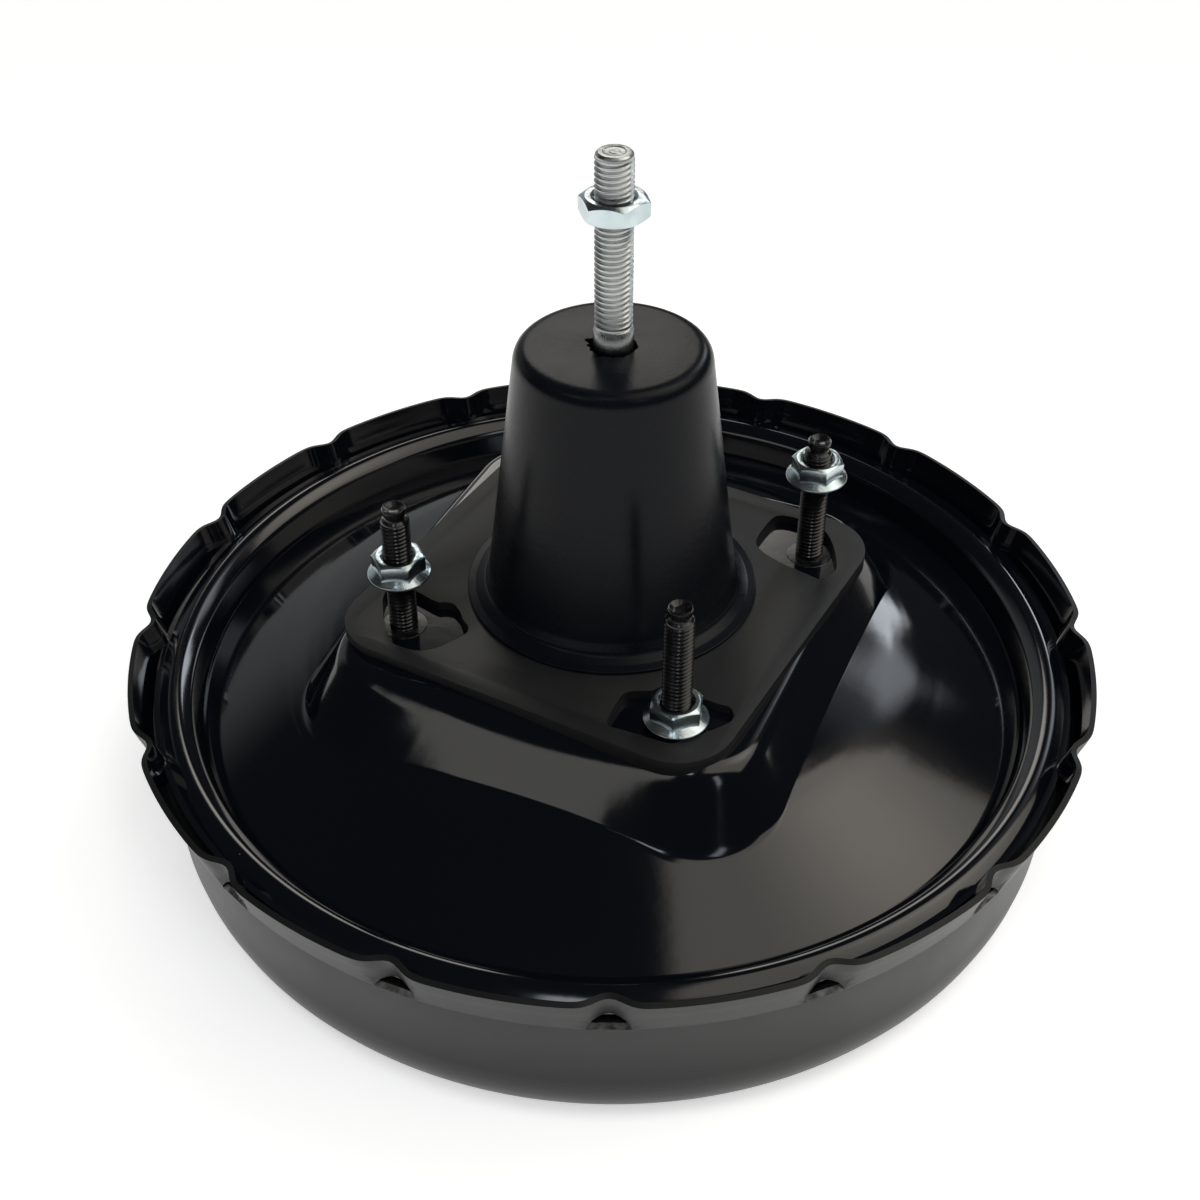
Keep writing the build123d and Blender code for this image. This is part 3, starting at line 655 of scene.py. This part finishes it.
half_square = 43
stud_places = {"near": (half_square, -half_square), "right": (half_square, half_square),
               "far": (-half_square, half_square), "left": (-half_square, -half_square)}
openings = {
    "near": [(-15.2, -11.3), (-16.4, -4.0), (-17.0, 3.0), (-10.4, 6.8), (-9.4, 8.6), (-6.6, 10.7),
             (6.8, 10.6), (10.4, 11.3), (13.1, 8.2), (12.7, 4.9), (4.0, -8.4), (1.6, -9.3), (-9.1, -10.3)],
    "right": [(-15.6, -5.9), (-15.9, 8.9), (-12.6, 11.2), (-3.4, 11.5), (1.1, 9.7), (6.2, 4.0), (11.7, -5.8),
              (10.1, -12.2), (9.0, -13.2), (2.2, -12.1), (-3.3, -11.6), (-10.8, -9.3)],
    "far": [(16.2, -5.0), (16.0, 9.0), (12.6, 11.2), (3.4, 11.5), (-1.1, 9.7), (-6.2, 4.0), (-11.7, -5.8),
            (-10.1, -12.2), (-2.2, -12.1), (3.3, -11.6), (10.8, -9.3)],
    "left": [(-4.7, 11.6), (5.0, 9.9), (6.4, 11.3), (9.0, 11.9), (12.6, 9.8), (15.2, 7.0), (18.4, 5.3),
             (19.6, 2.6), (16.0, -6.5), (12.0, -10.6), (3.6, -11.4), (-1.2, -6.7), (-4.0, -3.9), (-9.5, 3.0),
             (-11.5, 8.0), (-9.0, 11.0)],
}


def mounting_plate():
    """Rounded square slab with its hole and openings, and a moulded edge."""
    half = 59.3
    corner = 16.0
    thickness = 4.6
    hole_radius = 31.2
    outline = []
    for quarter in range(4):
        for step in range(13):
            angle = math.radians(quarter * 90 + step * 7.5)
            x = (half - corner) * (1 if quarter in (0, 3) else -1) + corner * math.cos(angle)
            y = (half - corner) * (1 if quarter in (0, 1) else -1) + corner * math.sin(angle)
            outline.append((x, y))
    plate = flat_outline("gasket_plate", outline, 0, thickness)
    turns = [math.radians(degrees) for degrees in range(0, 360, 3)]
    ring = [(hole_radius * math.cos(turn), hole_radius * math.sin(turn)) for turn in turns]
    cut_with(plate, flat_outline("cutter", ring, 2, 9))
    for place, (x, y) in stud_places.items():
        points = [(x + dx, y + dy) for dx, dy in softened(openings[place])]
        cut_with(plate, flat_outline("cutter", points, 2, 9))
    finish_with(plate, "BEVEL", width=0.7 * mm, segments=3, limit_method="ANGLE",
                angle_limit=math.radians(50))
    smooth(plate, 40)
    return plate


def moulded_black(name, low, high, roughness, grain_size, grain_depth, shine=0.5):
    """Black moulding with a faint haze and a fine grain."""
    material, shade, output = empty_material(name)
    place = shade.add("ShaderNodeTexCoord", out=3)
    haze = shade.add("ShaderNodeTexNoise", None, {
        "Vector": place, "Scale": 38.0, "Detail": 6.0, "Roughness": 0.6})
    grain = shade.add("ShaderNodeTexNoise", None, {"Vector": place, "Scale": grain_size, "Detail": 3.0})
    tint = shade.add("ShaderNodeValToRGB", {"stops": [(0.3, low), (0.72, high)]}, {"Fac": haze})
    bump = shade.add("ShaderNodeBump", None, {"Height": grain, "Strength": grain_depth, "Distance": 0.0004})
    skin = shade.add("ShaderNodeBsdfPrincipled", None, {
        "Base Color": tint, "Roughness": roughness + haze * 0.14, "Normal": bump,
        "Specular IOR Level": shine})
    shade.tree.links.new(skin.socket, output.inputs["Surface"])
    return material


plate = mounting_plate()
satin_plate = moulded_black(
    "satin_plate", (0.0085, 0.0088, 0.0095), (0.0125, 0.0128, 0.0135), 0.42, 900.0, 0.12)
dress(plate, satin_plate, "housing", "satin_paint", "mounting_plate")


# ---- Firewall studs --------------------------------------------------------------------------
# Four M8 studs of oiled black steel, clinched through the cover, that bolt the booster to the
# firewall.  Each has a collar on the cover, a rolled thread and a dished point above it.
def open_line(name, points):
    """A chain of (radius, height) points in the XZ plane, from a circle with one edge taken out."""
    bpy.ops.object.select_all(action="DESELECT")
    bpy.ops.mesh.primitive_circle_add(vertices=len(points), radius=1)
    line = bpy.context.object
    line.name = name
    for vertex, (radius, height) in zip(line.data.vertices, points):
        vertex.co = (radius * mm, 0, height * mm)
    last = len(points) - 1
    bpy.ops.object.mode_set(mode="EDIT")
    bpy.ops.mesh.select_mode(type="EDGE")
    bpy.ops.mesh.select_all(action="DESELECT")
    bpy.ops.object.mode_set(mode="OBJECT")
    for edge in line.data.edges:
        edge.select = set(edge.vertices) == {0, last}
    bpy.ops.object.mode_set(mode="EDIT")
    bpy.ops.mesh.delete(type="EDGE")
    bpy.ops.mesh.select_mode(type="VERT")
    bpy.ops.object.mode_set(mode="OBJECT")
    return line


def thread(name, crest, root, pitch, low, high, steps=40):
    """A rolled thread between two levels, closed by flat cuts."""
    shoulder = root + (crest - root) * 0.8
    tooth = [(root, 0), (root, pitch * 0.12), (shoulder, pitch * 0.40), (crest, pitch * 0.47),
             (crest, pitch * 0.58), (shoulder, pitch * 0.65), (root, pitch * 0.93), (root, pitch)]
    turns = math.ceil((high - low) / pitch) + 3
    coil = open_line(name, [(radius, height + low - 1.5 * pitch) for radius, height in tooth])
    finish_with(coil, "SCREW", axis="Z", angle=2 * math.pi, screw_offset=pitch * mm, iterations=turns,
                steps=steps, render_steps=steps, use_merge_vertices=True, merge_threshold=0.01 * mm)
    bpy.ops.object.mode_set(mode="EDIT")
    for level, normal in ((high, (0, 0, 1)), (low, (0, 0, -1))):
        bpy.ops.mesh.select_all(action="SELECT")
        bpy.ops.mesh.bisect(plane_co=(0, 0, level * mm), plane_no=normal, use_fill=True, clear_outer=True)
    bpy.ops.mesh.select_all(action="SELECT")
    bpy.ops.mesh.normals_make_consistent(inside=False)
    bpy.ops.object.mode_set(mode="OBJECT")
    coil.data.validate()
    smooth(coil, 50)
    return coil


def turned_solid(name, line, steps):
    """A closed turned piece whose line starts and ends next to the axis."""
    piece = turned_skin(name, line, steps)
    bpy.ops.object.mode_set(mode="EDIT")
    bpy.ops.mesh.select_all(action="DESELECT")
    bpy.ops.mesh.select_non_manifold()
    bpy.ops.mesh.edge_face_add()
    bpy.ops.mesh.select_all(action="SELECT")
    bpy.ops.mesh.normals_make_consistent(inside=False)
    bpy.ops.object.mode_set(mode="OBJECT")
    smooth(piece, 40)
    return piece


def copied(piece, name):
    """A copy with its own mesh."""
    twin = piece.copy()
    twin.data = piece.data.copy()
    twin.name = name
    bpy.context.collection.objects.link(twin)
    return twin


def joined(*pieces):
    """Make one object of several; the first keeps its name."""
    bpy.ops.object.select_all(action="DESELECT")
    for piece in pieces:
        piece.select_set(True)
    bpy.context.view_layer.objects.active = pieces[0]
    bpy.ops.object.join()
    return pieces[0]


def moved(piece, x, y, z=0, turn=0):
    """Turn a piece about the axis, then set it down at a place in millimetres."""
    bpy.ops.object.select_all(action="DESELECT")
    piece.rotation_euler = (0, 0, math.radians(turn))
    piece.location = (x * mm, y * mm, z * mm)
    settle(piece)
    return piece


def firewall_stud():
    """Collar, thread and dished point, on the axis."""
    collar = turned_solid("collar", rounded([
        (0.1, -4.6, 0), (6.8, -4.6, 0), (6.8, -2.6, 0.5), (3.9, -2.6, 0.2), (3.7, -1.0, 0),
        (0.1, -1.0, 0)]), 48)
    coil = thread("stud", crest=4.0, root=3.42, pitch=1.25, low=-2.0, high=33.4)
    point = turned_solid("point", rounded([
        (0.1, 33.2, 0), (3.75, 33.2, 0.1), (3.6, 33.7, 0.2), (2.75, 34.3, 0.3), (2.75, 35.0, 0.4),
        (3.25, 35.8, 0.5), (3.3, 37.3, 0.2), (3.1, 37.7, 0.15), (2.8, 37.6, 0.1), (1.6, 36.7, 0.8),
        (0.1, 36.5, 0)]), 48)
    return joined(coil, collar, point)


def black_oxide():
    """Oiled black steel, rubbed a little brighter here and there."""
    material, shade, output = empty_material("oiled_black_steel")
    place = shade.add("ShaderNodeTexCoord", out=3)
    wear = shade.add("ShaderNodeTexNoise", None, {"Vector": place, "Scale": 420.0, "Detail": 4.0})
    streak = shade.add("ShaderNodeTexNoise", None, {"Vector": place, "Scale": 90.0, "Detail": 3.0})
    tint = shade.add("ShaderNodeValToRGB", {
        "stops": [(0.45, (0.003, 0.003, 0.0035)), (0.8, (0.016, 0.016, 0.017))]}, {"Fac": wear})
    bump = shade.add("ShaderNodeBump", None, {"Height": wear, "Strength": 0.15, "Distance": 0.0003})
    skin = shade.add("ShaderNodeBsdfPrincipled", None, {
        "Base Color": tint, "Roughness": 0.15 + streak * 0.14, "Normal": bump, "Specular IOR Level": 0.5,
        "Coat Weight": 0.2, "Coat Roughness": 0.08})
    shade.tree.links.new(skin.socket, output.inputs["Surface"])
    return material


oxide = black_oxide()
stud_turn = 43
first_stud = firewall_stud()
for place, (x, y) in stud_places.items():
    turn = math.copysign(stud_turn, x)
    stud = moved(copied(first_stud, "threaded_stud_" + place), x, y, 0, turn)
    dress(stud, oxide, "housing", "black_oxide", "firewall_stud_" + place)
bpy.data.objects.remove(first_stud)


# ---- Flange nuts -----------------------------------------------------------------------------
# Four M8 hexagon nuts, 13 mm across flats, forged with a washer face and plated in bright zinc
# with a blue-green cast.  Each is run down its own stud to a different height.
def hexagon_block(name, flats, bottom, top):
    """Six-sided block measured across its flats."""
    bpy.ops.object.select_all(action="DESELECT")
    bpy.ops.mesh.primitive_cylinder_add(
        vertices=6, radius=flats / math.sqrt(3) * mm, depth=(top - bottom) * mm,
        location=(0, 0, (top + bottom) / 2 * mm))
    block = bpy.context.object
    block.name = name
    settle(block)
    return block


def crowned(block, line):
    """Keep only what lies inside a turned form, as a hexagon's corners are turned off."""
    form = turned_solid("form", line, 96)
    finish_with(block, "BOOLEAN", operation="INTERSECT", object=form, solver="EXACT")
    bpy.data.objects.remove(form)


def flange_nut():
    """Nut with its underside at level zero."""
    nut = hexagon_block("nut", 13.0, 0.4, 6.6)
    crowned(nut, [(0.1, -1), (9, -1), (9, 5.0), (6.0, 6.6), (0.1, 6.6)])
    cut_with(nut, turned_solid("bore", [
        (0.1, -1), (4.15, -1), (4.15, 5.9), (5.1, 6.7), (5.1, 8), (0.1, 8)], 48))
    finish_with(nut, "BEVEL", width=0.22 * mm, segments=2, limit_method="ANGLE",
                angle_limit=math.radians(25))
    smooth(nut, 30)
    washer = turned_skin("washer", rounded([
        (4.2, 0, 0), (8.5, 0, 0.3), (8.78, 0.75, 0.3), (8.2, 1.1, 0.6), (6.6, 2.2, 1.0), (5.6, 2.6, 0),
        (4.2, 2.6, 0), (4.2, 0, 0)]), 96)
    outward(washer)
    smooth(washer, 40)
    return joined(nut, washer)


def zinc_plate(name, tint_low, tint_high, roughness, scratch):
    """Bright zinc: cloudy tint, fine scratches and small handling marks."""
    material, shade, output = empty_material(name)
    place = shade.add("ShaderNodeTexCoord", out=3)
    cloud = shade.add("ShaderNodeTexNoise", None, {"Vector": place, "Scale": 160.0, "Detail": 4.0})
    stretch = shade.add("ShaderNodeMapping", None, {"Vector": place, "Scale": (900.0, 900.0, 120.0)})
    lines = shade.add("ShaderNodeTexNoise", None, {"Vector": stretch, "Scale": 1.0, "Detail": 3.0})
    tint = shade.add("ShaderNodeValToRGB", {"stops": [(0.32, tint_low), (0.68, tint_high)]}, {"Fac": cloud})
    bump = shade.add("ShaderNodeBump", None, {"Height": lines, "Strength": scratch, "Distance": 0.0003})
    skin = shade.add("ShaderNodeBsdfPrincipled", None, {
        "Base Color": tint, "Metallic": 1.0, "Roughness": roughness + cloud * 0.12 + lines * 0.08,
        "Normal": bump})
    shade.tree.links.new(skin.socket, output.inputs["Surface"])
    return material


zinc = zinc_plate("blue_zinc", (0.46, 0.55, 0.58), (0.64, 0.72, 0.74), 0.13, 0.15)
first_nut = flange_nut()
nut_levels = {"near": 0.2, "right": 24.9, "far": 20.0, "left": 15.4}
nut_turns = {"near": 20, "right": 43, "far": 25, "left": -4}
for place, (x, y) in stud_places.items():
    level = nut_levels[place]
    turn = nut_turns[place]
    nut = moved(copied(first_nut, "zinc_nut_" + place), x, y, level, turn)
    dress(nut, zinc, "nut_" + place, "zinc", "flange_nut_" + place)
bpy.data.objects.remove(first_nut)


# ---- Boot ------------------------------------------------------------------------------------
# Moulded black rubber cone over the valve's neck.  Its skirt lies on the plate, and the rod comes
# out through a torn-edged hole in the flat top.
nicks = [(-172, 9, 1.9), (-150, 6, 0.8), (-128, 5, 0.5), (-96, 7, 0.9), (-62, 4, 0.4), (150, 14, 1.1),
         (-40, 6, 0.6), (20, 9, 0.4)]


def nick_at(angle):
    """How deep the hole's edge is torn in a direction, by nicks of (direction, width, depth)."""
    nick = 0.0
    for place, width, depth in nicks:
        apart = (angle - place + 180) % 360 - 180
        nick += depth * math.exp(-(apart / width) ** 2)
    return nick


def boot():
    """Closed cone, skirt and top, with nicks round the hole."""
    cone = turned_skin("rubber_boot", rounded([
        (32.6, 0, 0), (41.4, 0, 0.2), (41.4, 0.9, 0.35), (38.9, 1.25, 1.5), (36.1, 2.6, 2.2), (35.2, 6.0, 6),
        (25.9, 77.6, 4.6), (6.0, 77.6, 0.3), (6.0, 74.6, 0.3), (22.6, 74.6, 2), (32.6, 0, 0)]), 256)
    for vertex in cone.data.vertices:
        radius = math.hypot(vertex.co.x, vertex.co.y) / mm
        if radius < 6.6 and vertex.co.z > 74 * mm:
            angle = math.degrees(math.atan2(vertex.co.y, vertex.co.x))
            growth = 1 + nick_at(angle) / radius
            vertex.co.x *= growth
            vertex.co.y *= growth
    outward(cone)
    smooth(cone, 40)
    return cone


cone = boot()
boot_rubber = moulded_black(
    "boot_rubber", (0.0030, 0.0038, 0.0060), (0.0050, 0.0058, 0.0078), 0.20, 700.0, 0.08, shine=0.15)
dress(cone, boot_rubber, "housing", "black_rubber", "boot")


# ---- Push rod --------------------------------------------------------------------------------
# Zinc-plated steel rod that the pedal pushes: a rolled M10 thread with a chamfered end above a
# band of straight knurls.  Its ball, out of sight, sits in a socket in the valve's plunger.
def push_rod():
    """Thread, knurled band, shank, spring collar and ball, on the axis."""
    coil = thread("threaded_push_rod", crest=5.0, root=4.22, pitch=1.5, low=83.4, high=129.6, steps=48)
    end = turned_solid("end", rounded([
        (0.1, 129.3, 0), (4.9, 129.3, 0.1), (4.75, 130.2, 0.4), (4.1, 130.75, 0.3), (3.0, 130.8, 0.3),
        (2.6, 130.6, 0.2), (1.4, 130.55, 0.1), (1.2, 130.7, 0.1), (0.1, 130.7, 0)]), 64)
    knurl_root = 5.12
    knurl_crest = 5.3
    band = turned_solid("band", [
        (0.1, 71.9), (4.9, 71.9), (knurl_root, 72.3), (knurl_root, 82.6), (4.6, 83.3), (4.6, 84.2),
        (0.1, 84.2)], 144)
    for number, vertex in enumerate(band.data.vertices):
        radius = math.hypot(vertex.co.x, vertex.co.y)
        if radius > 5.0 * mm and number % 3 == 0:
            vertex.co.x *= knurl_crest / knurl_root
            vertex.co.y *= knurl_crest / knurl_root
    shank = turned_solid("shank", rounded([
        (0.1, 6, 0), (3.0, 6.9, 1.2), (5.0, 9.0, 3.0), (5.0, 13.0, 3.0), (3.9, 14.6, 0.5), (3.8, 24.0, 0.5),
        (4.95, 26.0, 0.5), (4.95, 36.0, 0.2), (10.8, 36.0, 0.3), (10.8, 38.0, 0.3), (4.95, 38.0, 0.2),
        (4.95, 72.0, 0), (0.1, 72.0, 0)]), 64)
    return joined(coil, end, band, shank)


rod = push_rod()
rod_zinc = zinc_plate("rod_zinc", (0.40, 0.42, 0.42), (0.60, 0.62, 0.61), 0.20, 0.35)
dress(rod, rod_zinc, "push_rod", "zinc", "input_rod")


# ---- Jam nut ---------------------------------------------------------------------------------
# Thin M10 hexagon nut of zinc-plated steel, 16 mm across flats and chamfered on both faces.  It is
# screwed down the rod's thread, and locks the fork that goes on above it.
def jam_nut():
    """Nut at its height on the rod's thread."""
    low = 114.0
    high = 119.5
    nut = hexagon_block("zinc_jam_nut", 16.0, low, high)
    # The chamfers' cones run on past both faces, so that no two faces coincide.
    crowned(nut, [(0.1, low - 0.95), (5.9, low - 0.95), (9.5, low + 0.95), (9.5, high - 1.35),
                  (5.1, high + 1.35), (0.1, high + 1.35)])
    cut_with(nut, turned_solid("bore", [
        (0.1, low - 1), (5.8, low - 1), (5.8, low + 0.1), (5.06, low + 0.9), (5.06, high - 0.9),
        (5.9, high - 0.05), (5.9, high + 1), (0.1, high + 1)], 64))
    finish_with(nut, "BEVEL", width=0.3 * mm, segments=3, limit_method="ANGLE",
                angle_limit=math.radians(22))
    smooth(nut, 30)
    return nut


jam = moved(jam_nut(), 0, 0, 0, 46)
dress(jam, zinc, "jam_nut", "zinc", "jam_nut")


# ---- Hidden working parts --------------------------------------------------------------------
# Springs, seals, plates, rods, filters and valve parts, fitted inside before the shells are
# crimped together.  They keep their CAD shape, and each takes the finish of its own stock.
resin = moulded_black("brown_resin", (0.05, 0.032, 0.022), (0.075, 0.048, 0.033), 0.5, 500.0, 0.2)
rubber = moulded_black("soft_rubber", (0.012, 0.012, 0.012), (0.02, 0.02, 0.02), 0.55, 600.0, 0.15)
nylon = moulded_black("black_nylon", (0.012, 0.012, 0.013), (0.018, 0.018, 0.019), 0.4, 800.0, 0.1)
felt = moulded_black("grey_felt", (0.22, 0.21, 0.19), (0.36, 0.34, 0.31), 0.8, 1500.0, 0.8)
steel = zinc_plate("plain_steel", (0.42, 0.42, 0.41), (0.60, 0.60, 0.59), 0.25, 0.3)
stock = {"black_paint": enamel, "satin_paint": drum.data.materials[0], "zinc": zinc, "black_oxide": oxide,
         "plain_steel": steel, "black_rubber": rubber, "dark_resin": resin, "black_plastic": nylon,
         "filter_felt": felt}
slots = {}
for part in frame["record"]["subparts"]:
    node = frame["nodes"][part["node"]]
    node.data.materials.clear()
    node.data.materials.append(stock[part["material_slot"]])
    slots[part["node"]] = part["material_slot"]


def freed(node, name):
    """A merged copy of a CAD node's mesh that can ride on another body."""
    twin = copied(frame["nodes"][node], name)
    twin.parent = None
    twin.matrix_world = frame["nodes"][node].matrix_world
    twin.hide_viewport = False
    twin.hide_render = False
    settle(twin)
    outward(twin)
    smooth(twin, 40)
    return twin


# Each row gives a coil's node, its body, its joint, its foot's level, its full length and its travel; the
# coil keeps its CAD shape and rides on its body.
springs = [
    ("return_spring", "housing", "power_stroke", -55.2, 40.0, 26.0),
    ("input_spring", "power_piston", "plunger_travel", 27.2, 8.8, 2.0),
]
for node, body, joint, foot, length, travel in springs:
    coil = freed(node, node + "_coil")
    dress(coil, stock[slots[node]], body, slots[node], node)
    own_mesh(coil)

# The diaphragm's disc goes with the piston plate, and its rolling loop stays with the clamped rim.
disc_radius = 113.2
disc_edge = [(0.1, -62), (disc_radius, -62), (disc_radius, 0), (0.1, 0)]
disc = freed("diaphragm", "diaphragm_disc")
crowned(disc, disc_edge)
dress(disc, rubber, "power_piston", slots["diaphragm"], "diaphragm")
loop = freed("diaphragm", "diaphragm_loop")
cut_with(loop, turned_solid("core", disc_edge, 96))
dress(loop, rubber, "housing", slots["diaphragm"], "diaphragm")
